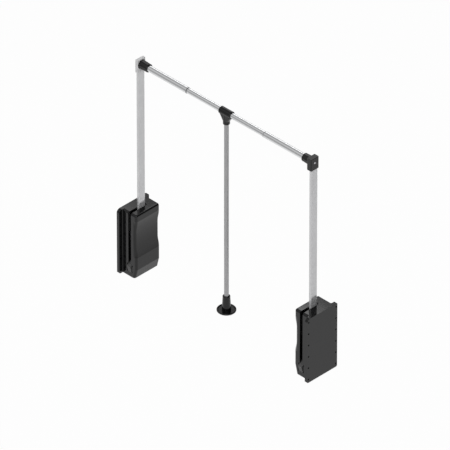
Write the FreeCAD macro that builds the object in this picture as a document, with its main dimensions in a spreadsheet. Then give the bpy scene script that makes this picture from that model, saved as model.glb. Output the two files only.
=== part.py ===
"""Pull down closet rod: two wall housings, two swinging arms and a telescoping rod with a pull pole.

Frame: X runs along the rod with 0 midway, Y runs from the room (-) to the back (+), and Z is up
from the housings' underside. The left side is built and the right side is its mirror image.
"""
import FreeCAD, Part
import math
import os
import re
import Sketcher
from FreeCAD import Placement, Rotation, Vector

# Driving dimensions in mm; the angles are in degrees.
SIZES = {
    # the whole lift
    "half_width": 445.5,      # middle to the wall plane
    "rod_height": 833,
    # housing
    "plate_flange": 16,       # the plate stands this far out of the case, front and back
    "plate_thick": 11.5,
    "plate_corner": 5,
    "plate_front_corner": 14,
    "case_height": 257,
    "case_room": 4.25,        # between the spring and the case's side wall
    "case_wall": 4,
    "back_wall": 5,
    "case_corner": 2,
    "cover_from_wall": 75.5,
    "screw_inset": 6,
    "screw_end_inset": 13.5,
    "screw_rows": 6,
    "screw_hole": 6.5,
    "screw_sink": 10,
    # cover's waisted face
    "waist_depth": 6,
    "waist_band": 26,         # flat band above the waist
    "waist_foot": 85,
    "waist_blend": 46,
    "foot_chamfer_height": 36,
    "foot_chamfer_depth": 9,
    "cover_top_round": 6.5,    # between the top and the inner face
    "cover_corner": 8,        # round the front's edges
    "cover_back_corner": 2.5,
    # arm, its slot and its stops
    "arm_from_wall": 44.5,
    "arm_width": 30,
    "arm_thick": 10,
    "arm_corner": 3,
    "arm_wall": 1.5,
    "slot_width": 13,
    "slot_back": 22,
    "slot_foot": 49.3,
    "flare_width": 24,        # the slot's wider foot, where the stop looks out
    "flare_foot": 17,
    "swing_angle": 125,
    "stop_width": 16,
    "stop_reach": 6,          # the stop stands this far out of the case
    "stop_depth": 14,
    "stop_flange": 28,
    "buffer_rib": 2.5,
    # pivot and gear train
    "pivot_height": 103,
    "shaft_bore": 12,
    "hub_wall": 2,
    "hub_reach": 25,
    "hub_foot": 19,
    "gear_module": 3,
    "gear_teeth": 16,
    "gear_width": 14,
    "gear_from_wall": 21,
    "pressure_angle": 20,
    "backlash": 0.3,
    "rack_back": 7,
    "bush_length": 8,
    "bush_wall": 3,
    "boss_wall": 4,
    "shaft_edge": 1,          # chamfer and groove depth
    "clip_gap": 2,
    "clip_thick": 1,
    "clip_rise": 3,
    # spring and damper
    "spring_wire": 3,
    "spring_outer": 20,
    "spring_turns": 7,
    "spring_steps": 12,       # straight lengths per turn
    "spring_seat": 5,
    "seat_overlap": 2,        # how far the spring's seat reaches over the rack's back
    "guide_length": 45,
    "guide_edge": 1,
    "damper_outer": 16,
    "damper_bore": 11.4,
    "damper_rod_width": 6,
    "damper_gland": 4,
    "damper_cap": 3,
    "damper_offset": 2,       # the rod's axis behind the middle of the rack's back
    "piston_length": 6,
    "piston_room": 2,
    # bracket and socket
    "bracket_outer": 7,       # from the arm's middle to the wall side and to the rod's side
    "bracket_inner": 6,
    "black_inner": 13.2,      # the black bracket holds the socket's foot in a round seat
    "bracket_depth": 36.5,
    "bracket_below": 29,      # below and above the rod's axis
    "black_below": 26.5,
    "bracket_above": 20,
    "black_above": 18.5,
    "bracket_corner": 3,
    "bracket_edge": 0.8,
    "bracket_cap": 5,
    "socket_length": 35.5,
    "socket_base": 34,
    "socket_mouth": 30,
    "socket_edge": 0.8,
    "socket_web": 4,
    "socket_plug": 12,
    "flat_inset": 2.5,
    "flat_depth": 0.7,
    "socket_screw": 5,
    "screw_head": 8.5,
    "head_height": 2.4,
    "head_dome": 1.4,
    "head_sink": 1,
    "drive_width": 1.2,
    "drive_depth": 1,
    # rod tubes
    "outer_tube": 22,
    "outer_tube_wall": 1.2,
    "outer_tube_length": 211,
    "centre_tube": 19,
    "tube_stow": 39.5,        # from the socket's plug to the centre tube's end
    "tube_wall": 1.2,
    "ring_length": 14,
    "ring_lip": 2.5,
    "ring_taper": 0.4,
    # pull pole
    "pole": 16,
    "pole_foot": 48,
    "tee_length": 51,
    "tee_barrel": 26.5,
    "tee_leg": 24,
    "tee_drop": 43,           # rod's axis to the leg's foot, the flare's foot and its top
    "tee_flare_drop": 31,
    "tee_barrel_drop": 11,
    "tee_groove": 6,
    "tee_groove_depth": 0.5,
    "tee_web": 4,             # between the tube's bore and the pole's
    "tee_edge": 0.8,
    "tee_screw_sink": 0.5,
    "grip_foot": 36,
    "grip_top": 96,
    "grip_top_width": 25.7,
    "grip_base_width": 31.5,
    "grip_edge": 1.5,
    "disc_width": 66,
    "disc_thick": 6,
    "dish_depth": 2.5,
    "dish_rim": 3,
    # clearances
    "running_gap": 0.1,
    "free_gap": 0.4,
    "seat_gap": 0.05,
    "overlap": 1,             # how far a cutter or a pad runs past a face
}

# Sizes that follow from the driving ones.
FOLLOWING = {
    "arm_x": "(arm_from_wall - half_width)",
    "seam_from_wall": "(arm_from_wall + slot_width / 2)",
    "case_depth": "(2 * (spring_y + spring_outer / 2 + case_room + case_wall))",
    "plate_depth": "(case_depth + 2 * plate_flange)",
    "screw_column": "(plate_depth - 2 * screw_inset)",
    "screw_pitch": "((case_height - 2 * screw_end_inset) / (screw_rows - 1))",
    "waist_top": "(case_height - waist_band)",
    "pitch_radius": "(gear_module * gear_teeth / 2)",
    "rack_travel": "(pitch_radius * swing_angle * pi / 180)",
    "rack_root": "(pitch_radius + 1.25 * gear_module)",
    "rack_reach": "(rack_root + rack_back)",
    "spring_y": "(rack_root + spring_outer / 2 - seat_overlap)",
    "rack_overhang": "(3 * gear_module)",
    "rack_top": "(pivot_height + rack_overhang)",
    "rack_foot": "(pivot_height - rack_travel - rack_overhang)",
    "spring_foot": "(rack_top + spring_seat)",
    "spring_top": "(case_height - case_wall - spring_seat)",
    "damper_top": "(pivot_height + rack_travel + rack_overhang)",
    "damper_y": "(0 - rack_root - rack_back / 2 - damper_offset)",
    "damper_foot": "(damper_top + damper_gland)",
    "cylinder_top": "(case_height - case_wall)",
    "gear_from_hub": "(hub_outer - gear_from_wall - free_gap)",
    "hub_inner": "(arm_from_wall + arm_thick / 2 + hub_wall)",
    "hub_outer": "(arm_from_wall - arm_thick / 2 - hub_wall)",
    "cover_floor": "(cover_from_wall - case_wall - waist_depth)",
    "buffer_foot": "(case_height - case_wall - 2 * arm_width)",
    "socket_x": "(arm_x + bracket_inner)",
    "tube_end": "(socket_x + socket_web)",
    "tube_mouth": "(tube_end + outer_tube_length)",
    "centre_tube_end": "(tube_end + socket_plug + tube_stow)",
    "bracket_top": "(rod_height + bracket_above)",
    "tee_foot": "(rod_height - tee_drop)",
    "tee_flare_foot": "(rod_height - tee_flare_drop)",
    "tee_flare_top": "(rod_height - tee_barrel_drop)",
    "tube_bore": "(outer_tube / 2 - outer_tube_wall)",
    "tee_bore": "(centre_tube / 2 + running_gap)",
}

doc = FreeCAD.newDocument("closet_rod")
sheet = doc.addObject("Spreadsheet::Sheet", "sizes")


def fill_sheet():
    """Writes each driving dimension in a cell that has its name as alias."""
    for row, (alias, number) in enumerate(SIZES.items(), start=1):
        sheet.set(f"A{row}", alias)
        sheet.set(f"B{row}", str(number))
        sheet.setAlias(f"B{row}", alias)
    doc.recompute()


def sized(text):
    """Turns a text in size names into an expression on the sheet's cells."""
    def name_to_cell(match):
        name = match.group(0)
        if name in FOLLOWING:
            return sized(FOLLOWING[name])
        return f"sizes.{name}" if name in SIZES else name
    return re.sub(r"[a-z_]+", name_to_cell, str(text))


def size(text):
    """Gives the number that a text in size names stands for."""
    return float(sheet.evalExpression(sized(text)))


def bind(thing, prop, text):
    """Binds a property of an object to a text in size names."""
    thing.setExpression(prop, sized(text))


def place(thing, x="0", y="0", z="0"):
    """Binds an object's position to three texts in size names."""
    for letter, text in zip("xyz", (x, y, z)):
        bind(thing, f"Placement.Base.{letter}", text)


# PartDesign helpers

def new_body(label):
    body = doc.addObject("PartDesign::Body", label)
    body.Label = label
    return body


def origin_part(body, role):
    return next(part for part in body.Origin.OriginFeatures if part.Role == role)


def new_sketch(body, plane, offset="0"):
    """A sketch on one of the body's origin planes, moved along the plane's normal by offset."""
    sketch = body.newObject("Sketcher::SketchObject", "sketch")
    sketch.AttachmentSupport = (origin_part(body, plane), [""])
    sketch.MapMode = "FlatFace"
    bind(sketch, "AttachmentOffset.Base.z", offset)
    return sketch


def pin_point(sketch, line, corner, spot):
    """Holds one end of a sketch line at a spot given as two texts in size names."""
    for kind, text in zip(("DistanceX", "DistanceY"), spot):
        rule = Sketcher.Constraint(kind, -1, 1, line, corner, size(text))
        index = sketch.addConstraint(rule)
        bind(sketch, f"Constraints[{index}]", text)


def outline(sketch, spots, radii=None):
    """A closed outline through the spots; radii maps a side's number to its arc radius.

    A positive radius makes that side bulge to the left of its direction, a negative one to its right.
    """
    radii = radii or {}
    ends = [Vector(size(u), size(v), 0) for u, v in spots]
    count = len(spots)
    for side in range(count):
        start, end = ends[side], ends[(side + 1) % count]
        if side in radii:
            sketch.addGeometry(side_arc(start, end, size(radii[side])), False)
        else:
            sketch.addGeometry(Part.LineSegment(start, end), False)
    for side in range(count):
        following = (side + 1) % count
        last = 1 if turns_back(radii, side) else 2
        first = 2 if turns_back(radii, following) else 1
        sketch.addConstraint(Sketcher.Constraint("Coincident", side, last, following, first))
    for side, spot in enumerate(spots):
        pin_point(sketch, side, 2 if turns_back(radii, side) else 1, spot)
    for side, text in radii.items():
        rule = Sketcher.Constraint("Radius", side, abs(size(text)))
        index = sketch.addConstraint(rule)
        bind(sketch, f"Constraints[{index}]", text.lstrip("-"))


def turns_back(radii, side):
    """True for an arc that a sketch stores from its end to its start, because it runs clockwise."""
    return side in radii and not radii[side].startswith("-")


def side_arc(start, end, radius):
    """The short arc from start to end; its sign says which way it bulges."""
    middle = (start + end) * 0.5
    chord = end - start
    normal = Vector(-chord.y, chord.x, 0).normalize()
    half = chord.Length / 2
    sag = abs(radius) - math.sqrt(radius * radius - half * half)
    crown = middle + normal * math.copysign(sag, radius)
    return Part.Arc(start, crown, end)


def box_outline(sketch, low_u, low_v, high_u, high_v):
    outline(sketch, [(low_u, low_v), (high_u, low_v), (high_u, high_v), (low_u, high_v)])


def circles(sketch, spots, radius):
    """Circles of one radius at the spots."""
    for u, v in spots:
        centre = Vector(size(u), size(v), 0)
        circle = sketch.addGeometry(Part.Circle(centre, Vector(0, 0, 1), size(radius)), False)
        index = sketch.addConstraint(Sketcher.Constraint("Radius", circle, size(radius)))
        bind(sketch, f"Constraints[{index}]", radius)
        pin_point(sketch, circle, 3, (u, v))


def pad(body, sketch, length, both_ways=False):
    feature = body.newObject("PartDesign::Pad", "pad")
    feature.Profile = sketch
    feature.Midplane = both_ways
    bind(feature, "Length", length)
    return feature


def pocket(body, sketch, length, both_ways=False):
    feature = body.newObject("PartDesign::Pocket", "pocket")
    feature.Profile = sketch
    feature.Midplane = both_ways
    bind(feature, "Length", length)
    return feature


def revolve(body, sketch, axis, cut=False):
    feature = body.newObject("PartDesign::Groove" if cut else "PartDesign::Revolution", "turn")
    feature.Profile = sketch
    feature.ReferenceAxis = (origin_part(body, axis), [""])
    feature.Angle = 360
    return feature


def round_edges(body, radius, chosen):
    """Fillets the edges of the body's tip that the function chosen picks."""
    dress_edges(body, "PartDesign::Fillet", "Radius", radius, chosen)


def chamfer_edges(body, width, chosen):
    dress_edges(body, "PartDesign::Chamfer", "Size", width, chosen)


def dress_edges(body, kind, prop, amount, chosen):
    doc.recompute()
    base = body.Tip
    picked = [f"Edge{number}" for number, edge in enumerate(base.Shape.Edges, start=1) if chosen(edge)]
    feature = body.newObject(kind, "edges")
    feature.Base = (base, picked)
    bind(feature, prop, amount)


def near(first, second):
    return abs(first - second) < 0.01


def along(edge, letter):
    """True for a straight edge along the axis with that letter."""
    if edge.Curve.TypeId != "Part::GeomLine":
        return False
    return near(abs(getattr(edge.Curve.Direction, letter)), 1)


def middle_of(edge):
    return edge.valueAt((edge.FirstParameter + edge.LastParameter) / 2)


def turned(label, axis, spots, x="0", y="0", z="0", radii=None):
    """A turned piece: spots run (along, radius) about an X axis and (radius, along) about a Z axis."""
    body = new_body(label)
    sketch = new_sketch(body, "XZ_Plane")
    outline(sketch, spots, radii)
    revolve(body, sketch, axis + "_Axis")
    place(body, x, y, z)
    return body


def sleeve(label, axis, start, end, outer, inner, **spot):
    """A turned tube from start to end with two radii."""
    if axis == "X":
        spots = [(start, inner), (end, inner), (end, outer), (start, outer)]
    else:
        spots = [(inner, start), (outer, start), (outer, end), (inner, end)]
    return turned(label, axis, spots, **spot)


# Housing

def wall_case(label):
    """Moulded tub with the screw plate, the arm's slot, the shaft boss and the rack guides."""
    body = new_body(label)
    plan = new_sketch(body, "XY_Plane")
    half_case = "case_depth / 2"
    half_plate = "plate_depth / 2"
    face = "plate_thick"
    outline(plan, [("0", "-" + half_plate), (face, "-" + half_plate),
                   (face, f"-({half_case} + case_corner)"), (f"{face} + case_corner", "-" + half_case),
                   ("seam_from_wall", "-" + half_case), ("seam_from_wall", half_case),
                   (f"{face} + case_corner", half_case), (face, f"{half_case} + case_corner"),
                   (face, half_plate), ("0", half_plate)],
            {2: "case_corner", 6: "case_corner"})
    pad(body, plan, "case_height")
    round_plate(body)
    round_top(body)
    hollow_case(body)
    case_slots(body)
    case_inside(body)
    screw_holes(body)
    place(body, x="-half_width")
    return body


def round_plate(body):
    """Rounds the plate's corners, the upper front one most."""
    rim = size("plate_depth / 2")
    middle = size("case_height / 2")
    for radius, upper_front in (("plate_front_corner", True), ("plate_corner", False)):
        round_edges(body, radius, lambda edge: along(edge, "x")
                    and near(abs(edge.Vertexes[0].Y), rim)
                    and (edge.Vertexes[0].Y < 0 and edge.Vertexes[0].Z > middle) == upper_front)


def round_top(body):
    """Rounds the case's top front and back edges, short of the screw plate."""
    for side, radius, bulge in (("-", "cover_corner", ""), ("", "cover_back_corner", "-")):
        face = f"{side}case_depth / 2"
        outside = f"{side}(case_depth / 2 + overlap)"
        inside = f"{side}(case_depth / 2 - {radius})"
        corner = new_sketch(body, "YZ_Plane", "seam_from_wall")
        outline(corner, [(face, f"case_height - {radius}"), (inside, "case_height"),
                         (inside, "case_height + overlap"), (outside, "case_height + overlap"),
                         (outside, f"case_height - {radius}")], {0: bulge + radius})
        pocket(body, corner, "seam_from_wall - plate_thick - case_corner")


def hollow_case(body):
    hollow = new_sketch(body, "YZ_Plane", "seam_from_wall")
    box_outline(hollow, "case_wall - case_depth / 2", "case_wall",
                "case_depth / 2 - case_wall", "case_height - case_wall")
    pocket(body, hollow, "seam_from_wall - back_wall")


def case_slots(body):
    """The arm's slot in the top and front rims, and its wider foot."""
    slot = new_sketch(body, "YZ_Plane", "seam_from_wall")
    box_outline(slot, "-case_depth", "slot_foot", "slot_back", "case_height + case_wall")
    pocket(body, slot, "slot_width")
    flare = new_sketch(body, "XZ_Plane", "case_depth / 2")
    box_outline(flare, "arm_from_wall - flare_width / 2", "flare_foot",
                "seam_from_wall + overlap", "slot_foot + overlap")
    pocket(body, flare, "case_wall")


def case_inside(body):
    """The shaft bush's boss, the ribs that hold the racks to the gear and the buffer's rib."""
    boss = new_sketch(body, "YZ_Plane", "back_wall")
    circles(boss, [("0", "pivot_height")], "shaft_bore / 2 + bush_wall + boss_wall")
    pad(body, boss, "bush_length")
    for side in ("", "-"):
        rib = new_sketch(body, "YZ_Plane", "back_wall")
        near_edge = f"{side}(rack_reach + free_gap)"
        far_edge = f"{side}(case_depth / 2 - case_wall / 2)"
        edges = (near_edge, far_edge) if side == "" else (far_edge, near_edge)
        box_outline(rib, edges[0], "rack_foot", edges[1], "pivot_height")
        pad(body, rib, "gear_from_wall + gear_width / 2 - back_wall")
    rest = new_sketch(body, "YZ_Plane", "back_wall")
    box_outline(rest, "slot_back", "buffer_foot", "slot_back + buffer_rib", "case_height - case_wall")
    pad(body, rest, "arm_from_wall + arm_thick / 2 - back_wall")
    bore = new_sketch(body, "YZ_Plane", "back_wall + bush_length")
    circles(bore, [("0", "pivot_height")], "shaft_bore / 2 + bush_wall + seat_gap")
    pocket(body, bore, "bush_length")


def screw_holes(body):
    """Two columns of countersunk wall screw holes."""
    rows = int(size("screw_rows"))
    spots = []
    for row in range(rows):
        height = f"case_height / 2 + ({row} - (screw_rows - 1) / 2) * screw_pitch"
        spots += [("-screw_column / 2", height), ("screw_column / 2", height)]
    holes = new_sketch(body, "YZ_Plane", "plate_thick")
    circles(holes, spots, "screw_hole / 2")
    pocket(body, holes, "plate_thick")
    sinks = new_sketch(body, "YZ_Plane", "plate_thick")
    circles(sinks, spots, "screw_sink / 2")
    pocket(body, sinks, "plate_thick / 3")


def cover(label):
    """Inner shell with a waisted face, a chamfered foot and rounded edges."""
    body = new_body(label)
    profile = new_sketch(body, "XZ_Plane")
    face = "cover_from_wall"
    waist = "cover_from_wall - waist_depth"
    halfway = "cover_from_wall - waist_depth / 2"
    bend = "(waist_blend * waist_blend / (4 * waist_depth) + waist_depth / 4)"
    outline(profile, [("seam_from_wall", "0"),
                      (face + " - foot_chamfer_depth", "0"),
                      (face, "foot_chamfer_height"),
                      (face, "waist_foot"),
                      (halfway, "waist_foot + waist_blend / 2"),
                      (waist, "waist_foot + waist_blend"),
                      (waist, "waist_top - waist_blend"),
                      (halfway, "waist_top - waist_blend / 2"),
                      (face, "waist_top"),
                      (face, "case_height - cover_top_round"),
                      (face + " - cover_top_round", "case_height"),
                      ("seam_from_wall", "case_height")],
            {3: "-" + bend, 4: bend, 6: bend, 7: "-" + bend, 9: "-cover_top_round"})
    pad(body, profile, "case_depth", both_ways=True)
    seam = size("seam_from_wall")
    half_case = size("case_depth / 2")
    for radius, side in (("cover_corner", -half_case), ("cover_back_corner", half_case)):
        round_edges(body, radius, lambda edge: near(middle_of(edge).y, side)
                    and edge.BoundBox.ZLength > 1 and middle_of(edge).x > seam + 1)
    hollow_cover(body)
    cover_opening(body)
    place(body, x="-half_width")
    return body


def hollow_cover(body):
    hollow = new_sketch(body, "YZ_Plane", "seam_from_wall")
    box_outline(hollow, "case_wall - case_depth / 2", "case_wall",
                "case_depth / 2 - case_wall", "case_height - case_wall")
    pocket(body, hollow, "cover_floor - seam_from_wall").Reversed = True
    boss = new_sketch(body, "YZ_Plane", "cover_floor - bush_length / 2")
    circles(boss, [("0", "pivot_height")], "shaft_bore / 2 + bush_wall + boss_wall")
    pad(body, boss, "bush_length / 2 + overlap")
    bore = new_sketch(body, "YZ_Plane", "cover_floor - bush_length / 2")
    circles(bore, [("0", "pivot_height")], "shaft_bore / 2 + bush_wall + seat_gap")
    pocket(body, bore, "bush_length").Reversed = True


def cover_opening(body):
    """The cover's half of the slot's wider foot."""
    flare = new_sketch(body, "XZ_Plane", "case_depth / 2")
    box_outline(flare, "seam_from_wall - overlap", "flare_foot",
                "arm_from_wall + flare_width / 2", "slot_foot")
    pocket(body, flare, "case_wall")


def arm_stop(label):
    """Wedge in the slot's wider foot; its sloped top carries the lowered arm."""
    body = new_body(label)
    front = "-case_depth / 2"
    lean = "(swing_angle - 90)"
    under_pivot = f"(pivot_height - (arm_width / 2 + free_gap) / cos({lean}))"
    wedge = new_sketch(body, "YZ_Plane")
    outline(wedge, [(front, "flare_foot + free_gap"),
                    (front + " + stop_depth", "flare_foot + free_gap"),
                    (front + " + stop_depth",
                     f"{under_pivot} - (case_depth / 2 - stop_depth) * tan({lean})"),
                    (front + " - stop_reach",
                     f"{under_pivot} - (case_depth / 2 + stop_reach) * tan({lean})")])
    pad(body, wedge, "stop_width", both_ways=True)
    flange = new_sketch(body, "YZ_Plane")
    box_outline(flange, front + " + case_wall + seat_gap", "case_wall + seat_gap",
                front + " + stop_depth", "slot_foot - case_wall")
    pad(body, flange, "stop_flange", both_ways=True)
    place(body, x="arm_x")
    return body


def upright_buffer(label):
    """Rubber pad behind the upright arm."""
    body = new_body(label)
    plan = new_sketch(body, "XY_Plane")
    box_outline(plan, "-arm_thick / 2", "arm_width / 2 + free_gap",
                "arm_thick / 2", "slot_back - seat_gap")
    pad(body, plan, "2 * arm_width - free_gap")
    place(body, x="arm_x", z="buffer_foot")
    return body


# Arm and pivot

def arm(label):
    """Flat rectangular tube with the shaft's hole at its foot and the screw's hole at its top."""
    body = new_body(label)
    foot = "(pivot_height - hub_foot + hub_wall)"
    plan = new_sketch(body, "XY_Plane")
    box_outline(plan, "-arm_thick / 2", "-arm_width / 2", "arm_thick / 2", "arm_width / 2")
    pad(body, plan, f"bracket_top - bracket_cap - {foot}")
    round_edges(body, "arm_corner", lambda edge: along(edge, "z"))
    hollow = new_sketch(body, "XY_Plane")
    box_outline(hollow, "arm_wall - arm_thick / 2", "arm_wall - arm_width / 2",
                "arm_thick / 2 - arm_wall", "arm_width / 2 - arm_wall")
    pocket(body, hollow, "rod_height").Reversed = True
    holes = ((f"pivot_height - {foot}", "shaft_bore / 2"), (f"rod_height - {foot}", "socket_screw / 2"))
    for height, radius in holes:
        hole = new_sketch(body, "YZ_Plane")
        circles(hole, [("0", height)], radius + " + seat_gap")
        pocket(body, hole, "2 * arm_thick", both_ways=True)
    place(body, x="arm_x", z=foot)
    return body


def arm_hub(label):
    """Steel sleeve round the arm's foot, turned round below, with the shaft's bore."""
    body = new_body(label)
    half = "(arm_width / 2 + 2 * hub_wall)"
    plan = new_sketch(body, "YZ_Plane")
    outline(plan, [(half, "0"), (half, "hub_reach"), ("-" + half, "hub_reach"), ("-" + half, "0")],
            {3: f"-({half} + hub_wall / 20)"})
    pad(body, plan, "arm_thick + 2 * hub_wall", both_ways=True)
    mouth = new_sketch(body, "XY_Plane", "hub_reach")
    box_outline(mouth, "-(arm_thick / 2 + seat_gap)", "-(arm_width / 2 + seat_gap)",
                "arm_thick / 2 + seat_gap", "arm_width / 2 + seat_gap")
    pocket(body, mouth, "hub_reach + hub_foot - hub_wall + seat_gap")
    bore = new_sketch(body, "YZ_Plane")
    circles(bore, [("0", "0")], "shaft_bore / 2 + seat_gap")
    pocket(body, bore, "2 * arm_thick", both_ways=True)
    place(body, x="arm_x", z="pivot_height")
    return body


def pivot_shaft(label):
    """Axle from the wall's bush to the cover's, with chamfered ends and a clip groove."""
    radius = "shaft_bore / 2"
    tip = f"{radius} - shaft_edge"
    start = "back_wall + free_gap"
    groove = "hub_inner + clip_gap"
    groove_end = f"{groove} + clip_thick + 2 * running_gap"
    end = "cover_floor + bush_length / 2 - shaft_edge"
    spots = [(start, "0"), (end, "0"), (end, tip), (end + " - shaft_edge", radius),
             (groove_end, radius), (groove_end, tip), (groove, tip), (groove, radius),
             (start + " + shaft_edge", radius), (start, tip)]
    return turned(label, "X", spots, x="-half_width", z="pivot_height")


def shaft_clip(label):
    """Retaining ring in the shaft's groove."""
    start = "hub_inner + clip_gap + running_gap"
    return sleeve(label, "X", start, start + " + clip_thick", "shaft_bore / 2 + clip_rise",
                  "shaft_bore / 2 - shaft_edge + running_gap", x="-half_width", z="pivot_height")


def shaft_bush(label, start):
    """Plain bearing bush; the shaft turns in it."""
    return sleeve(label, "X", start, f"{start} + bush_length - free_gap", "shaft_bore / 2 + bush_wall",
                  "shaft_bore / 2 + running_gap", x="-half_width", z="pivot_height")


# Gear train

def involute_flank(pitch_radius, turn):
    """Points on a tooth's flank from its root to its tip, with the pitch point turned by turn."""
    pressure = math.radians(size("pressure_angle"))
    base = pitch_radius * math.cos(pressure)
    tip = pitch_radius + size("gear_module")
    start = turn - (math.tan(pressure) - pressure)
    points = []
    for share in (0, 0.5, 1):
        radius = base + (tip - base) * share
        opening = math.acos(min(1, base / radius))
        angle = start + math.tan(opening) - opening
        points.append(Vector(0, radius * math.cos(angle), radius * math.sin(angle)))
    return points


def drive_gear(label):
    """Spur gear on the shaft; involute teeth, thinned by half the backlash on each flank."""
    teeth = int(size("gear_teeth"))
    pitch_radius = size("pitch_radius")
    root = pitch_radius - 1.25 * size("gear_module")
    step = 2 * math.pi / teeth
    half_tooth = step / 4 - size("backlash") / 2 / pitch_radius
    edges = []
    last = None
    # A tooth space lies on +Y, where the spring's rack has a tooth at rest.
    for tooth in range(teeth):
        centre = (tooth + 0.5) * step
        rising = involute_flank(pitch_radius, -half_tooth)
        falling = [Vector(0, spot.y, -spot.z) for spot in reversed(rising)]
        foot = math.atan2(rising[0].z, rising[0].y)
        spots = [Vector(0, root * math.cos(foot), root * math.sin(foot))] + rising
        spots += falling + [Vector(0, root * math.cos(foot), -root * math.sin(foot))]
        turn = Rotation(Vector(1, 0, 0), math.degrees(centre))
        spots = [turn.multVec(spot) for spot in spots]
        if last:
            edges.append(Part.makeLine(last, spots[0]))
        first = first if tooth else spots[0]
        edges += [Part.makeLine(spots[0], spots[1]), Part.Arc(*spots[1:4]).toShape(),
                  Part.makeLine(spots[3], spots[4]), Part.Arc(*spots[4:7]).toShape(),
                  Part.makeLine(spots[6], spots[7])]
        last = spots[7]
    edges.append(Part.makeLine(last, first))
    face = Part.Face(Part.Wire(edges))
    width = size("gear_width")
    axis = Vector(1, 0, 0)
    gear = face.extrude(axis * width)
    collar_length = width / 2 + size("gear_from_hub")
    collar = Part.makeCylinder(size("shaft_bore / 2 + bush_wall"), collar_length, Vector(), axis)
    bore = Part.makeCylinder(size("shaft_bore / 2 + seat_gap"), collar_length, Vector(), axis)
    shape = gear.fuse(collar).cut(bore).removeSplitter()
    spot = Vector(size("gear_from_wall - half_width") - width / 2, 0, size("pivot_height"))
    return shaped(label, shape, spot)


def shaped(label, shape, spot):
    piece = doc.addObject("Part::Feature", label)
    piece.Label = label
    piece.Shape = shape
    piece.Placement = Placement(spot, Rotation())
    return piece


def rack_profile(low, high, shift):
    """Outline of a rack whose teeth point to -Y, with a tooth's middle shift above the gear's axis."""
    module = size("gear_module")
    pitch = math.pi * module
    lean = math.tan(math.radians(size("pressure_angle")))
    pitch_line = size("pitch_radius")
    tip_line = pitch_line - module
    root_line = size("rack_root")
    half_pitch_width = pitch / 4 - size("backlash") / 4
    half_root = half_pitch_width + (root_line - pitch_line) * lean
    half_tip = half_pitch_width - module * lean
    spots = [Vector(0, root_line, low)]
    first = math.ceil((low + half_root - shift) / pitch)
    last = math.floor((high - half_root - shift) / pitch)
    for tooth in range(first, last + 1):
        middle = tooth * pitch + shift
        spots += [Vector(0, root_line, middle - half_root), Vector(0, tip_line, middle - half_tip),
                  Vector(0, tip_line, middle + half_tip), Vector(0, root_line, middle + half_root)]
    back_line = size("rack_reach")
    spots += [Vector(0, root_line, high), Vector(0, back_line, high), Vector(0, back_line, low)]
    return spots


def toothed_rack(low, high, shift=0):
    spots = rack_profile(low, high, shift)
    face = Part.Face(Part.makePolygon(spots + spots[:1]))
    width = size("gear_width")
    return face.extrude(Vector(width, 0, 0)).translated(Vector(-width / 2, 0, 0))


def spring_rack(label):
    """Rack behind the gear, with a round seat and a spigot for the spring on its top."""
    low = size("rack_foot - pivot_height")
    high = size("rack_top - pivot_height")
    seat_spot = Vector(0, size("spring_y"), high)
    up = Vector(0, 0, 1)
    seat = Part.makeCylinder(size("spring_outer / 2"), size("spring_seat"), seat_spot, up)
    spigot_radius = size("spring_outer / 2 - spring_wire - free_gap")
    spigot = Part.makeCylinder(spigot_radius, size("2 * spring_seat"), seat_spot, up)
    shape = toothed_rack(low, high).fuse([seat, spigot]).removeSplitter()
    return shaped(label, shape, Vector(size("gear_from_wall - half_width"), 0, size("pivot_height")))


def damper_rack(label):
    """Rack in front of the gear; the damper's rod screws into its top."""
    low = size("-rack_overhang")
    high = size("damper_top - pivot_height")
    # With an odd number of teeth the gear shows this rack a tooth where the other one has a space.
    shift = math.pi * size("gear_module") / 2 * (int(size("gear_teeth")) % 2)
    rack = toothed_rack(low, high, shift).mirror(Vector(0, 0, 0), Vector(0, 1, 0))
    lug = Part.makeBox(size("gear_width"), size("rack_back + damper_rod_width / 2"), size("damper_outer / 2"),
                       Vector(-size("gear_width / 2"), -size("rack_reach + damper_rod_width / 2"),
                              high - size("damper_outer / 2")))
    shape = rack.fuse(lug).removeSplitter()
    return shaped(label, shape, Vector(size("gear_from_wall - half_width"), 0, size("pivot_height")))


def lift_spring(label):
    """Open-coiled compression spring between the rack's seat and the guide's flange."""
    wire = size("spring_wire / 2")
    coil = size("spring_outer / 2") - wire
    rise = size("spring_top - spring_foot - spring_wire - 2 * free_gap")
    per_turn = int(size("spring_steps"))
    steps = per_turn * int(size("spring_turns"))
    spots = []
    for step in range(steps + 1):
        angle = 2 * math.pi * step / per_turn
        spots.append(Vector(coil * math.cos(angle), coil * math.sin(angle), rise * step / steps))
    run = (spots[1] - spots[0]).normalize()
    across = (Vector(1, 0, 0) - run * run.x).normalize()
    turn = Placement(spots[0], Rotation(across, run.cross(across), run))
    corners = [turn.multVec(Vector(wire * math.cos(side * math.pi / 3), wire * math.sin(side * math.pi / 3), 0))
               for side in range(7)]
    mitred = 1
    shape = Part.makePolygon(spots).makePipeShell([Part.makePolygon(corners)], True, True, mitred)
    foot = size("spring_foot + spring_wire / 2 + free_gap")
    return shaped(label, shape, Vector(size("gear_from_wall - half_width"), size("spring_y"), foot))


def spring_guide(label):
    """Flanged pin that hangs from the case's top inside the spring."""
    flange = "spring_outer / 2 + guide_edge"
    pin = "spring_outer / 2 - spring_wire - 2 * free_gap"
    foot = "spring_top - guide_length"
    spots = [("0", foot), (pin + " - guide_edge", foot), (pin, foot + " + 2 * guide_edge"),
             (pin, "spring_top"), (flange, "spring_top"),
             (flange, "case_height - case_wall"), ("0", "case_height - case_wall")]
    return turned(label, "Z", spots, x="gear_from_wall - half_width", y="spring_y")


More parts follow.
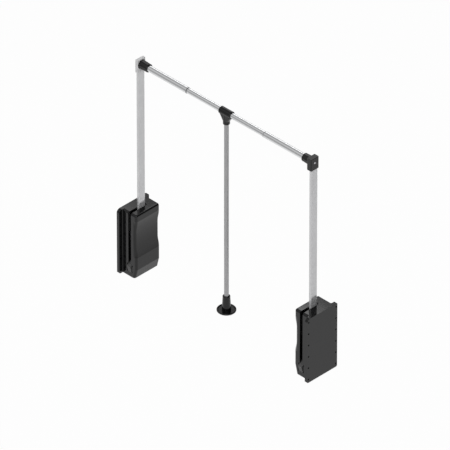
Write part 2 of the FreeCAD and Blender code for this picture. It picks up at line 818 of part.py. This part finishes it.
def damper_cylinder(label):
    """Closed cylinder with a gland at its foot."""
    outer = "damper_outer / 2"
    bore = "damper_bore / 2"
    gland = "damper_rod_width / 2 + free_gap / 2"
    spots = [(gland, "damper_foot"), (outer, "damper_foot"), (outer, "cylinder_top"), ("0", "cylinder_top"),
             ("0", "cylinder_top - damper_cap"), (bore, "cylinder_top - damper_cap"),
             (bore, "damper_foot + damper_gland"),
             (gland, "damper_foot + damper_gland")]
    return turned(label, "Z", spots, x="gear_from_wall - half_width", y="damper_y")


def damper_rod(label):
    """Rod with the piston at its top; its foot stands in the damper's rack."""
    rod = "damper_rod_width / 2"
    piston = "damper_bore / 2 - free_gap"
    end = "cylinder_top - damper_cap - piston_room"
    spots = [("0", "damper_top"), (rod, "damper_top"), (rod, f"{end} - piston_length"),
             (piston, f"{end} - piston_length"), (piston, end), ("0", end)]
    return turned(label, "Z", spots, x="gear_from_wall - half_width", y="damper_y")


# Bracket, socket and rod

def bracket(label, inner="bracket_inner", below="bracket_below", above="bracket_above"):
    """Cap over the arm's top end with a sunk screw hole in its wall side."""
    body = new_body(label)
    foot = f"(rod_height - {below})"
    plan = new_sketch(body, "XY_Plane")
    box_outline(plan, "-bracket_outer", "-bracket_depth / 2", inner, "bracket_depth / 2")
    pad(body, plan, f"{below} + {above}")
    round_edges(body, "bracket_corner", lambda edge: along(edge, "z"))
    top = size(f"{below} + {above}")
    chamfer_edges(body, "bracket_edge", lambda edge: near(edge.BoundBox.ZMin, top))
    mouth = new_sketch(body, "XY_Plane")
    box_outline(mouth, "-(arm_thick / 2 + seat_gap)", "-(arm_width / 2 + seat_gap)",
                "arm_thick / 2 + seat_gap", "arm_width / 2 + seat_gap")
    pocket(body, mouth, f"bracket_top - {foot} - bracket_cap + seat_gap").Reversed = True
    hole = new_sketch(body, "YZ_Plane")
    circles(hole, [("0", below)], "socket_screw / 2 + seat_gap")
    pocket(body, hole, "4 * black_inner", both_ways=True)
    sink = new_sketch(body, "YZ_Plane", "-bracket_outer")
    circles(sink, [("0", below)], "screw_head / 2 + 2 * free_gap")
    pocket(body, sink, "head_sink").Reversed = True
    place(body, x="arm_x", z=foot)
    return body


def black_bracket(label):
    """The thicker bracket, whose inner side has a round seat for the socket's foot."""
    body = bracket(label, "black_inner", "black_below", "black_above")
    seat = new_sketch(body, "YZ_Plane", "black_inner")
    circles(seat, [("0", "black_below")], "socket_base / 2 + seat_gap")
    pocket(body, seat, "black_inner - bracket_inner")
    return body


def rod_socket(label):
    """Tapering holder that grips the outer tube inside and out, with eight long flats."""
    web = "socket_x + socket_web"
    mouth = "socket_x + socket_length"
    hole = "socket_screw / 2 + seat_gap"
    plug = "tube_bore - seat_gap"
    plug_end = web + " + socket_plug"
    spots = [("socket_x", hole), (plug_end, hole), (plug_end, plug + " - socket_edge"),
             (plug_end + " - socket_edge", plug), (web, plug), (web, "outer_tube / 2 + seat_gap"),
             (mouth, "outer_tube / 2 + seat_gap"), (mouth, "socket_mouth / 2 - socket_edge"),
             (mouth + " - socket_edge", "socket_mouth / 2"), ("socket_x", "socket_base / 2")]
    body = turned(label, "X", spots, z="rod_height")
    flat = new_sketch(body, "XZ_Plane")
    outline(flat, [("socket_x + flat_inset", "socket_base / 2 - flat_depth"),
                   (mouth + " - flat_inset", "socket_mouth / 2 - flat_depth"),
                   (mouth + " - flat_inset", "socket_base"), ("socket_x + flat_inset", "socket_base")])
    cut = pocket(body, flat, "socket_base / 4", both_ways=True)
    ring = body.newObject("PartDesign::PolarPattern", "ring")
    ring.Originals = [cut]
    ring.Axis = (origin_part(body, "X_Axis"), [""])
    ring.Angle = 360
    ring.Occurrences = 8
    body.Tip = ring
    return body


def socket_screw(label):
    """Pan-head screw through bracket and arm into the socket's plug."""
    head_seat = "arm_x - bracket_outer + head_sink"
    head_top = f"{head_seat} - head_height"
    tip = "tube_end + socket_plug - 2 * socket_edge"
    shank = "socket_screw / 2"
    spots = [(head_top, "0"), (tip, "0"), (tip, shank + " - socket_edge"), (tip + " - socket_edge", shank),
             (head_seat, shank), (head_seat, "screw_head / 2"),
             (f"{head_top} + head_dome", "screw_head / 2"), (head_top, "screw_head / 2 - head_dome")]
    body = turned(label, "X", spots, z="rod_height")
    slot = new_sketch(body, "XY_Plane")
    box_outline(slot, head_top + " - overlap", "-drive_width / 2", head_top + " + drive_depth",
                "drive_width / 2")
    pocket(body, slot, "screw_head", both_ways=True)
    return body


def outer_tube(label):
    return sleeve(label, "X", "tube_end", "tube_mouth", "outer_tube / 2", "tube_bore",
                  z="rod_height")


def tube_ring(label):
    """Plastic ring in the outer tube's mouth; the centre tube slides in it."""
    mouth = "tube_mouth"
    slide = "centre_tube / 2 + running_gap"
    body = turned(label, "X", [(mouth + " - ring_length", slide), (mouth + " + ring_lip", slide),
                               (mouth + " + ring_lip", "outer_tube / 2 - ring_taper"),
                               (mouth, "outer_tube / 2"), (mouth, "tube_bore - seat_gap"),
                               (mouth + " - ring_length", "tube_bore - seat_gap")], z="rod_height")
    return body


def centre_tube(label):
    """Thin middle tube with the groove that the T's guide screw rides in."""
    end = "centre_tube_end"
    skin = "centre_tube / 2"
    bore = "centre_tube / 2 - tube_wall"
    floor = "centre_tube / 2 - tee_groove_depth"
    spots = [(end, bore), ("-" + end, bore), ("-" + end, skin), ("tee_groove / 2", skin),
             ("tee_groove / 2", floor), ("-tee_groove / 2", floor), ("-tee_groove / 2", skin),
             (end, skin)]
    return turned(label, "X", spots, z="rod_height")


# Pull pole

def t_connector(label):
    """Barrel that turns on the centre tube, with a flared leg that holds the pole."""
    body = new_body(label)
    web = new_sketch(body, "XZ_Plane")
    half_leg = "tee_leg / 2"
    half_barrel = "tee_length / 2"
    outline(web, [("-" + half_leg, "tee_flare_foot"), (half_leg, "tee_flare_foot"),
                  (half_barrel, "tee_flare_top"), (half_barrel, "rod_height"),
                  ("-" + half_barrel, "rod_height"), ("-" + half_barrel, "tee_flare_top")])
    pad(body, web, "tee_leg - overlap", both_ways=True)
    foot = size("tee_flare_foot")
    top = size("rod_height")
    round_edges(body, "tee_leg / 2 - 3", lambda edge: not near(abs(edge.tangentAt(0).y), 1)
                and foot + 1 < middle_of(edge).z < top - 1)
    leg = new_sketch(body, "XY_Plane", "tee_foot")
    circles(leg, [("0", "0")], half_leg)
    pad(body, leg, "rod_height - tee_foot")
    barrel = new_sketch(body, "YZ_Plane")
    circles(barrel, [("0", "rod_height")], "tee_barrel / 2")
    pad(body, barrel, "tee_length", both_ways=True)
    half_length = size("tee_length / 2")
    chamfer_edges(body, "tee_edge", lambda edge: near(abs(middle_of(edge).x), half_length)
                  and edge.BoundBox.ZMax > top + 5)
    bore = new_sketch(body, "YZ_Plane")
    circles(bore, [("0", "rod_height")], "tee_bore")
    pocket(body, bore, "2 * tee_length", both_ways=True)
    pole_bore = new_sketch(body, "XY_Plane", "tee_foot")
    circles(pole_bore, [("0", "0")], "pole / 2 + seat_gap")
    pocket(body, pole_bore, "rod_height - tee_bore - tee_foot - tee_web").Reversed = True
    for height in ("rod_height", "tee_flare_foot"):
        hole = new_sketch(body, "XZ_Plane")
        circles(hole, [("0", height)], "socket_screw / 2 + seat_gap")
        pocket(body, hole, "tee_barrel")
    return body


def t_screws(label):
    """Guide screw that rides in the tube's groove, and the grub screw that holds the pole."""
    screws = []
    depths = (("rod_height", "centre_tube / 2 - tee_groove_depth + running_gap", "tee_barrel / 2 - tee_screw_sink"),
              ("tee_flare_foot", "pole / 2 + seat_gap", "tee_leg / 2 - tee_screw_sink"))
    for height, tip, head in depths:
        screw = doc.addObject("Part::Cylinder", "t_screw")
        bind(screw, "Radius", "socket_screw / 2")
        bind(screw, "Height", f"{head} - ({tip})")
        screw.Placement = Placement(Vector(), Rotation(Vector(1, 0, 0), -90))
        place(screw, y=tip, z=height)
        screws.append(screw)
    return grouped(label, screws)


def grouped(label, pieces):
    """One node that holds several separate solids."""
    group = doc.addObject("Part::Compound", label)
    group.Label = label
    group.Links = pieces
    return group


def pull_pole(label):
    top = "rod_height - tee_bore - tee_web - free_gap"
    return sleeve(label, "Z", "pole_foot", top, "pole / 2", "pole / 2 - tube_wall")


def pull_grip(label):
    """Hand grip: a cone that widens down to a dished disc."""
    bore = "pole / 2 + seat_gap"
    base = "grip_base_width / 2"
    neck = "grip_top_width / 2"
    rim = "disc_width / 2"
    disc_top = "grip_foot + disc_thick"
    dish = f"{disc_top} - dish_depth"
    spots = [("0", "grip_foot"), (rim + " - grip_edge", "grip_foot"), (rim, "grip_foot + grip_edge"),
             (rim, disc_top + " - grip_edge"), (rim + " - grip_edge", disc_top),
             (rim + " - dish_rim", disc_top), (rim + " - 2 * dish_rim", dish), (base, dish),
             (neck, "grip_top - grip_edge"), (neck + " - grip_edge", "grip_top"), (bore, "grip_top"),
             (bore, "pole_foot - seat_gap"), ("0", "pole_foot - seat_gap")]
    return turned(label, "Z", spots)


def side_pieces():
    """Builds the left side's pieces; the name of each is without its side."""
    bushes = [shaft_bush("wall_bush", "back_wall"), shaft_bush("cover_bush", "cover_floor - bush_length / 2")]
    makers = (wall_case, cover, arm_stop, upright_buffer, arm, arm_hub, pivot_shaft, shaft_clip,
              drive_gear, spring_rack, damper_rack, lift_spring, spring_guide, damper_cylinder,
              damper_rod, bracket, rod_socket, socket_screw, outer_tube, tube_ring)
    pieces = {maker.__name__: maker(maker.__name__ + "_left") for maker in makers}
    pieces["shaft_bushes"] = grouped("shaft_bushes_left", bushes)
    return pieces


def right_sources(left):
    """The left-hand forms of the right side's pieces, of which only the bracket differs."""
    return {**left, "bracket": black_bracket("black_bracket")}


def mirrored(name, source):
    """The right side's piece: a left-hand one mirrored in the middle plane."""
    twin = doc.addObject("Part::Mirroring", name + "_right")
    twin.Label = name + "_right"
    twin.Source = source
    twin.Base = Vector(0, 0, 0)
    twin.Normal = Vector(1, 0, 0)
    return twin


def build():
    fill_sheet()
    left = side_pieces()
    right = [mirrored(name, piece) for name, piece in right_sources(left).items()]
    middle = [maker(maker.__name__) for maker in
              (centre_tube, t_connector, t_screws, pull_pole, pull_grip)]
    doc.recompute()
    return list(left.values()) + right + middle


def check_and_export(pieces):
    for thing in doc.Objects:
        if "Invalid" in thing.State or "Error" in thing.State:
            raise ValueError(f"{thing.Label} failed: {thing.State}")
    os.makedirs("parts", exist_ok=True)
    for piece in pieces:
        if piece.Shape.isNull() or not piece.Shape.isValid():
            raise ValueError(f"{piece.Label} has no valid shape")
        piece.Shape.exportStep(f"parts/{piece.Label}.step")


check_and_export(build())
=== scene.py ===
import math

import bpy
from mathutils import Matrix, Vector

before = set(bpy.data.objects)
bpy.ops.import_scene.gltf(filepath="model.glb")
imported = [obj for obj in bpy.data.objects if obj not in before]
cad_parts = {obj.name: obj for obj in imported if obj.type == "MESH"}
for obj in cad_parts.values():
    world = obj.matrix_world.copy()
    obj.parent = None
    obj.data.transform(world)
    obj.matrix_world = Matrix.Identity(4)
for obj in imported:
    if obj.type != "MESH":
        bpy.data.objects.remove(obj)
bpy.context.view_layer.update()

# Lengths are in metres. Colours and tones run from 0 to 1.


# ---------------------------------------------------------------- node helpers

def fill(tree, made, inputs):
    """Gives a node's inputs their values, or links them from other nodes' outputs."""
    for name, value in inputs.items():
        socket = made.inputs[name]
        if isinstance(value, bpy.types.NodeSocket):
            tree.links.new(value, socket)
        else:
            socket.default_value = (*value, 1) if socket.type == "RGBA" else value
    return made


def node(tree, kind, inputs=None, **settings):
    """New shader node with its settings made and its inputs filled."""
    made = tree.nodes.new("ShaderNode" + kind)
    for name, value in settings.items():
        setattr(made, name, value)
    return fill(tree, made, inputs or {})


def new_group(name, inputs, outputs):
    """Shader node group with number inputs, given with their defaults, and number outputs."""
    group = bpy.data.node_groups.new(name, "ShaderNodeTree")
    for label, default in inputs.items():
        socket = group.interface.new_socket(label, in_out="INPUT", socket_type="NodeSocketFloat")
        socket.default_value = default
    for label in outputs:
        group.interface.new_socket(label, in_out="OUTPUT", socket_type="NodeSocketFloat")
    given = group.nodes.new("NodeGroupInput").outputs
    result = group.nodes.new("NodeGroupOutput")
    return group, given, result


def maths(tree, operation, *terms, **settings):
    """Result of one operation on numbers and outputs."""
    made = node(tree, "Math", dict(enumerate(terms)), operation=operation, **settings)
    return made.outputs[0]


def rise(tree, value, start, end):
    """Number that rises from 0 to 1 as value runs from start to end."""
    made = node(tree, "MapRange", {"Value": value, "From Min": start, "From Max": end})
    return made.outputs["Result"]


def blend_number(tree, factor, low, high):
    """Number that runs from low to high as factor runs from 0 to 1."""
    made = node(tree, "MapRange", {"Value": factor, "To Min": low, "To Max": high})
    return made.outputs["Result"]


def blend_colour(tree, factor, low, high, **settings):
    """Colour that runs from low to high as factor runs from 0 to 1."""
    made = node(tree, "Mix", {"Factor": factor, "A": low, "B": high}, data_type="RGBA",
                **settings)
    return made.outputs["Result"]


def grey(tone):
    return (tone, tone, tone)


def tone_ramp(tree, value, tones):
    """Grey that runs through (value, tone) pairs, of which the first is at 0 and the last at 1."""
    made = node(tree, "ValToRGB", {0: value})
    stops = made.color_ramp.elements
    for place, tone in tones[1:-1]:
        stops.new(place)
    for stop, (place, tone) in zip(stops, tones):
        stop.color = (*grey(tone), 1)
    return made.outputs[0]


# ---------------------------------------------------------------- shared effects

def make_moulded_grain():
    """Fine spark-eroded mould texture with a slow drift in gloss, as on moulded plastic."""
    group, given, result = new_group("moulded grain", {"Grain size": 0.0004, "Drift size": 0.05},
                                     ["Height", "Drift"])
    spot = node(group, "TexCoord").outputs["Object"]
    pits = node(group, "TexNoise", {
        "Vector": spot, "Scale": maths(group, "DIVIDE", 1.0, given["Grain size"]),
        "Detail": 2.0, "Roughness": 0.6})
    drift = node(group, "TexNoise", {
        "Vector": spot, "Scale": maths(group, "DIVIDE", 1.0, given["Drift size"]),
        "Detail": 3.0, "Roughness": 0.5})
    fill(group, result, {"Height": pits.outputs[0], "Drift": drift.outputs[0]})
    return group


def make_edge_wear():
    """Mask of 1 along sharp edges, broken up by noise, where handling has polished them."""
    group, given, result = new_group("edge wear", {"Width": 0.0006, "Amount": 1.0}, ["Mask"])
    rounded = node(group, "Bevel", {"Radius": given["Width"]}, samples=4)
    flat = node(group, "NewGeometry")
    alike = node(group, "VectorMath", {0: rounded.outputs[0], 1: flat.outputs["Normal"]},
                 operation="DOT_PRODUCT")
    turned = maths(group, "SUBTRACT", 1.0, alike.outputs["Value"])
    edge = rise(group, turned, start=0.02, end=0.2)
    spot = node(group, "TexCoord").outputs["Object"]
    patches = node(group, "TexNoise", {"Vector": spot, "Scale": 120.0, "Detail": 4.0})
    worn = maths(group, "MULTIPLY", edge, rise(group, patches.outputs[0], start=0.4, end=0.65))
    fill(group, result,
         {"Mask": maths(group, "MULTIPLY", worn, given["Amount"], use_clamp=True)})
    return group


def make_drawn_lines():
    """Fine lines along X, or along Z, left by drawing or brushing a metal."""
    group, given, result = new_group(
        "drawn lines", {"Across": 4000.0, "Along X": 1.0, "Along Z": 1.0}, ["Height", "Tone"])
    spot = node(group, "TexCoord").outputs["Object"]
    scale = node(group, "CombineXYZ", {"X": given["Along X"], "Y": 1.0, "Z": given["Along Z"]})
    stretched = node(group, "VectorMath", {0: spot, 1: scale.outputs[0]}, operation="MULTIPLY")
    lines = node(group, "TexNoise", {"Vector": stretched.outputs[0], "Scale": given["Across"],
                                     "Detail": 2.0, "Roughness": 0.7})
    slow = node(group, "TexNoise", {"Vector": spot, "Scale": 9.0, "Detail": 3.0})
    fill(group, result, {"Height": lines.outputs[0], "Tone": slow.outputs[0]})
    return group


def make_waist_sweep():
    """Height that turns the cover's waist from two bends and a flat into one even sweep.

    Middle is the height of the waist's deepest place. Bend is the height that each bend takes.
    Face is how far the waisted face is from the lift's middle, and Corner rounds it off.
    """
    group, given, result = new_group("waist sweep", {
        "Middle": 0.158, "Half height": 0.073, "Bend": 0.046, "Bend depth": 0.006,
        "Sweep depth": 0.0078, "Face": 0.377, "Corner": 0.006}, ["Height"])
    spot = node(group, "SeparateXYZ", {0: node(group, "TexCoord").outputs["Object"]}).outputs
    away = maths(group, "ABSOLUTE", maths(group, "SUBTRACT", spot["Z"], given["Middle"]))

    # The sweep is deepest in the middle and runs out at both ends of the waist.
    span = maths(group, "DIVIDE", away, given["Half height"], use_clamp=True)
    sweep = maths(group, "SUBTRACT", 1.0, maths(group, "MULTIPLY", span, span))

    # Each bend is half a curve inwards and half a curve back to the flat.
    inside = maths(group, "SUBTRACT", given["Half height"], away)
    run = maths(group, "DIVIDE", inside, given["Bend"], use_clamp=True)
    first = maths(group, "MINIMUM", run, 0.5)
    second = maths(group, "SUBTRACT", 1.0, maths(group, "MAXIMUM", run, 0.5))
    bends = maths(group, "SUBTRACT", maths(group, "MULTIPLY", first, first),
                  maths(group, "MULTIPLY", second, second))
    bends = maths(group, "ADD", maths(group, "MULTIPLY", bends, 2.0), 0.5)
    step = maths(group, "SUBTRACT", maths(group, "MULTIPLY", bends, given["Bend depth"]),
                 maths(group, "MULTIPLY", sweep, given["Sweep depth"]))

    # It ends within the corner between the waisted face and the cover's sides.
    past = maths(group, "SUBTRACT", maths(group, "ABSOLUTE", spot["X"]), given["Face"])
    rounding = maths(group, "DIVIDE", past, given["Corner"], use_clamp=True)
    on_face = maths(group, "SUBTRACT", 1.0, rounding)
    fill(group, result, {"Height": maths(group, "MULTIPLY", step, on_face)})
    return group


moulded_grain = make_moulded_grain()
edge_wear = make_edge_wear()
drawn_lines = make_drawn_lines()
waist_sweep = make_waist_sweep()


# ---------------------------------------------------------------- finishes

PLASTIC_TONE_DRIFT = 0.1        # share by which its colour drifts to each side
PLASTIC_GLOSS_DRIFT = 0.04      # roughness by which its gloss drifts to each side
METAL_TONE_DRIFT = 0.06         # share by which its colour drifts down
GRAIN_STRENGTH = 0.35
LINE_STRENGTH = 0.3
BLACK_GLOSS = 0.36
BLACK_EDGE = grey(0.02)


def new_finish(name):
    material = bpy.data.materials.new(name)
    material.use_nodes = True
    tree = material.node_tree
    return material, tree, tree.nodes["Principled BSDF"]


def plastic(name, colour, edge_colour, rough, grain_depth, gloss=0.5, metallic=0.0, form=None):
    """Moulded plastic or coat: drifting gloss, fine mould grain and lighter polished edges.

    form is a group whose height lies under the grain.
    """
    material, tree, shader = new_finish(name)
    grain = node(tree, "Group", node_tree=moulded_grain).outputs
    wear = node(tree, "Group", node_tree=edge_wear).outputs
    bump = node(tree, "Bump", {"Strength": GRAIN_STRENGTH, "Distance": grain_depth,
                               "Height": grain["Height"]})
    if form:
        height = node(tree, "Group", node_tree=form).outputs["Height"]
        under = node(tree, "Bump", {"Strength": 1.0, "Distance": 1.0, "Height": height})
        fill(tree, bump, {"Normal": under.outputs["Normal"]})
    base = blend_colour(tree, grain["Drift"], [c * (1 - PLASTIC_TONE_DRIFT) for c in colour],
                        [min(c * (1 + PLASTIC_TONE_DRIFT), 1) for c in colour])
    fill(tree, shader, {
        "Base Color": blend_colour(tree, wear["Mask"], base, edge_colour),
        "Roughness": blend_number(tree, grain["Drift"], rough - PLASTIC_GLOSS_DRIFT,
                                  rough + PLASTIC_GLOSS_DRIFT),
        "Normal": bump.outputs["Normal"], "Specular IOR Level": gloss, "Metallic": metallic})
    return material


def metal(name, colour, rough, across, along_x, along_z, depth, spread=0.3):
    """Drawn or plated metal: fine lines along its length and a slow drift in tone."""
    material, tree, shader = new_finish(name)
    lines = node(tree, "Group", {"Across": across, "Along X": along_x, "Along Z": along_z},
                 node_tree=drawn_lines).outputs
    bump = node(tree, "Bump", {"Strength": LINE_STRENGTH, "Distance": depth,
                               "Height": lines["Height"]})
    dull = [c * (1 - METAL_TONE_DRIFT) for c in colour]
    fill(tree, shader, {
        "Base Color": blend_colour(tree, lines["Tone"], dull, colour),
        "Roughness": blend_number(tree, lines["Height"], rough * (1 - spread),
                                  rough * (1 + spread)),
        "Normal": bump.outputs["Normal"], "Metallic": 1.0})
    return material


finish_of_slot = {
    "black_case": plastic("black case plastic", (0.005, 0.005, 0.0055), BLACK_EDGE,
                          rough=0.13, grain_depth=0.00001, gloss=BLACK_GLOSS),
    "black_cover": plastic("black cover plastic", (0.004, 0.004, 0.0045), BLACK_EDGE,
                           rough=0.13, grain_depth=0.00001, gloss=BLACK_GLOSS,
                           form=waist_sweep),
    "black_fitting": plastic("black fitting plastic", (0.004, 0.004, 0.0045), BLACK_EDGE,
                             rough=0.2, grain_depth=0.00001, gloss=BLACK_GLOSS),
    "silver_fitting": plastic("silver fitting plastic", (0.76, 0.76, 0.77), grey(0.85),
                              rough=0.35, grain_depth=0.00002),
    "silver_arm": plastic("silver arm coat", (0.655, 0.655, 0.665), grey(0.72),
                          rough=0.12, grain_depth=0.000002, metallic=0.39),
    "steel_pole": plastic("satin grey coat", (0.4, 0.4, 0.405), grey(0.5),
                          rough=0.3, grain_depth=0.00002, metallic=0.5),
    # Black paint, partly painted shade: the damper is kept black so the slot beside the arm stays
    # as dark as shade.
    "damper_metal": plastic("damper black paint and painted shade", (0.01, 0.01, 0.0105), grey(0.03),
                            rough=0.35, grain_depth=0.00001),
    "white_nylon": plastic("natural nylon", (0.72, 0.72, 0.68), (0.8, 0.8, 0.76),
                           rough=0.45, grain_depth=0.00003),
    "grey_ring": plastic("grey ring plastic", (0.25, 0.25, 0.255), grey(0.35),
                         rough=0.4, grain_depth=0.00003),
    "stop_rubber": plastic("stop rubber", grey(0.09), grey(0.12),
                           rough=0.6, grain_depth=0.00005),
    "chrome_tube": metal("chrome", (0.72, 0.725, 0.735), rough=0.09, across=3000.0,
                         along_x=0.004, along_z=1.0, depth=0.000001, spread=0.1),
    "steel": metal("plain steel", (0.55, 0.55, 0.57), rough=0.3, across=1800.0,
                   along_x=1.0, along_z=0.2, depth=0.00002),
    "spring_steel": metal("oiled spring steel", (0.28, 0.28, 0.3), rough=0.25, across=1500.0,
                          along_x=1.0, along_z=1.0, depth=0.00002),
}

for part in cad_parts.values():
    for held in part.material_slots:
        held.material = finish_of_slot[held.material.name.split(".")[0]]


# ---------------------------------------------------------------- floor and studio

FLOOR_BELOW = 0.9               # under the housings
FLOOR_SIZE = 400
FLOOR_GLOW = 0.965              # share of its paleness that doesn't come from the lamps
FLOOR_DRIFT = 0.4               # size of the patches in its tone
WHITE = grey(1.0)

# How the floor looks in metal, by the distance from the lift.
FLOOR_TONES = ((0.0, 1.0), (2.4, 1.0), (4.0, 0.7), (8.0, 0.54), (16.0, 0.5))

# The studio's walls, by the sine of the angle above the horizon.
FRONT_TONES = ((0.0, 0.42), (0.2, 0.42), (0.38, 0.5), (0.56, 0.76), (0.72, 0.76), (0.8, 0.52),
               (1.0, 0.5))
BACK_TONES = ((0.0, 0.68), (0.2, 0.62), (0.45, 0.54), (0.6, 0.54), (0.7, 0.5), (0.8, 0.42),
              (1.0, 0.5))
WALLS_MEET = 0.3                # front and back walls blend within this to each side of Y = 0
SKIRTING = (0.022, 0.032)       # up to the first they are white, from the second as above

# What the curtain leaves of them, by how far towards the back right it is.
CURTAIN_SIDE = (0.707, 0.707, 0)
CURTAIN_TONES = ((0.0, 1.0), (0.2, 1.0), (0.34, 0.04), (1.0, 0.04))


def add_floor():
    """Pale floor that keeps the lift's shadow, and that metal shows greyer further off."""
    bpy.ops.object.select_all(action="DESELECT")
    bpy.ops.mesh.primitive_plane_add(size=FLOOR_SIZE, location=(0, 0, -FLOOR_BELOW))
    floor = bpy.context.object
    floor.name = "floor"
    material, tree, shader = new_finish("pale floor")
    grain = node(tree, "Group", {"Drift size": FLOOR_DRIFT}, node_tree=moulded_grain)
    fill(tree, shader, {
        "Base Color": blend_colour(tree, grain.outputs["Drift"], grey(0.9), grey(0.93)),
        "Roughness": 0.9, "Specular IOR Level": 0.0})
    spot = node(tree, "TexCoord").outputs["Object"]
    reach = node(tree, "VectorMath", {0: spot}, operation="LENGTH").outputs["Value"]
    furthest = FLOOR_TONES[-1][0]
    tones = [(distance / furthest, tone) for distance, tone in FLOOR_TONES]
    in_metal = tone_ramp(tree, rise(tree, reach, 0.0, furthest), tones)
    path = node(tree, "LightPath").outputs
    glow = node(tree, "Emission", {
        "Color": blend_colour(tree, path["Is Glossy Ray"], WHITE, in_metal), "Strength": 1.0})
    seen = maths(tree, "MAXIMUM", path["Is Camera Ray"], path["Is Glossy Ray"])
    mix = node(tree, "MixShader", {0: maths(tree, "MULTIPLY", seen, FLOOR_GLOW),
                                   1: shader.outputs[0], 2: glow.outputs[0]})
    fill(tree, tree.nodes["Material Output"], {"Surface": mix.outputs[0]})
    floor.data.materials.append(material)


def add_studio():
    """Studio walls that are paler behind the lift, with a dark curtain at the back right.

    Where they meet the floor, far off, all of them are as pale as it is.
    """
    world = bpy.data.worlds.new("studio")
    bpy.context.scene.world = world
    world.use_nodes = True
    tree = world.node_tree
    way = node(tree, "TexCoord").outputs["Generated"]
    along = node(tree, "SeparateXYZ", {0: way}).outputs
    walls = blend_colour(tree, rise(tree, along["Y"], -WALLS_MEET, WALLS_MEET),
                         tone_ramp(tree, along["Z"], FRONT_TONES),
                         tone_ramp(tree, along["Z"], BACK_TONES))
    aside = node(tree, "VectorMath", {0: way, 1: CURTAIN_SIDE}, operation="DOT_PRODUCT")
    curtain = tone_ramp(tree, aside.outputs["Value"], CURTAIN_TONES)
    hung = blend_colour(tree, 1.0, walls, curtain, blend_type="MULTIPLY")
    pale_foot = rise(tree, along["Z"], SKIRTING[1], SKIRTING[0])
    fill(tree, tree.nodes["Background"],
         {"Color": blend_colour(tree, pale_foot, hung, WHITE), "Strength": 1.0})


# ---------------------------------------------------------------- lamps and camera

# Soft lamps overhead, at the left and behind: name, place, size and power in watts.
LAMP_HEIGHT = 1.457
OVERHEAD = (
    ("back lamp", (-1.1, 0.6775), (2.8, 0.555), 3.9),
    ("right strip", (-0.775, 1.07), (0.95, 0.23), 2.1),
    ("left strip", (-1.875, 1.07), (1.25, 0.23), 1.22),
)
FRONT_FILL = 0.75
FRONT_FILL_SPREAD = math.radians(60)

VIEW_FROM = (1, -1, 1)
VIEW_CENTRE = (-0.0068, 0, 0.3781)
VIEW_WIDTH = 1.4836
LENS = 1000.0                   # so long that the view has almost no perspective
SENSOR = 36
SEEN_TO = 200                   # from the camera


def turn_to(way):
    return Vector(way).to_track_quat("-Z", "Y").to_euler()


def add_lamp(name, kind, power, place, way, **settings):
    data = bpy.data.lights.new(name, kind)
    data.energy = power
    for label, value in settings.items():
        setattr(data, label, value)
    lamp = bpy.data.objects.new(name, data)
    lamp.location = place
    lamp.rotation_euler = turn_to(way)
    bpy.context.scene.collection.objects.link(lamp)


def add_lamps():
    for name, (x, y), (wide, deep), watts in OVERHEAD:
        add_lamp(name, "AREA", watts, (x, y, LAMP_HEIGHT), (0, 0, -1),
                 shape="RECTANGLE", size=wide, size_y=deep)
    # A very soft light from the camera's side, so that what faces it has no deep shade.
    add_lamp("front fill", "SUN", FRONT_FILL, (0, 0, 0), -Vector(VIEW_FROM),
             angle=FRONT_FILL_SPREAD)


def add_camera():
    data = bpy.data.cameras.new("camera")
    data.lens = LENS
    data.sensor_width = SENSOR
    data.clip_end = SEEN_TO
    away = Vector(VIEW_FROM).normalized()
    camera = bpy.data.objects.new("camera", data)
    camera.location = Vector(VIEW_CENTRE) + away * (LENS / SENSOR * VIEW_WIDTH)
    camera.rotation_euler = turn_to(-away)
    bpy.context.scene.collection.objects.link(camera)
    bpy.context.scene.camera = camera


add_floor()
add_studio()
add_lamps()
add_camera()
bpy.context.scene.view_settings.view_transform = "Standard"
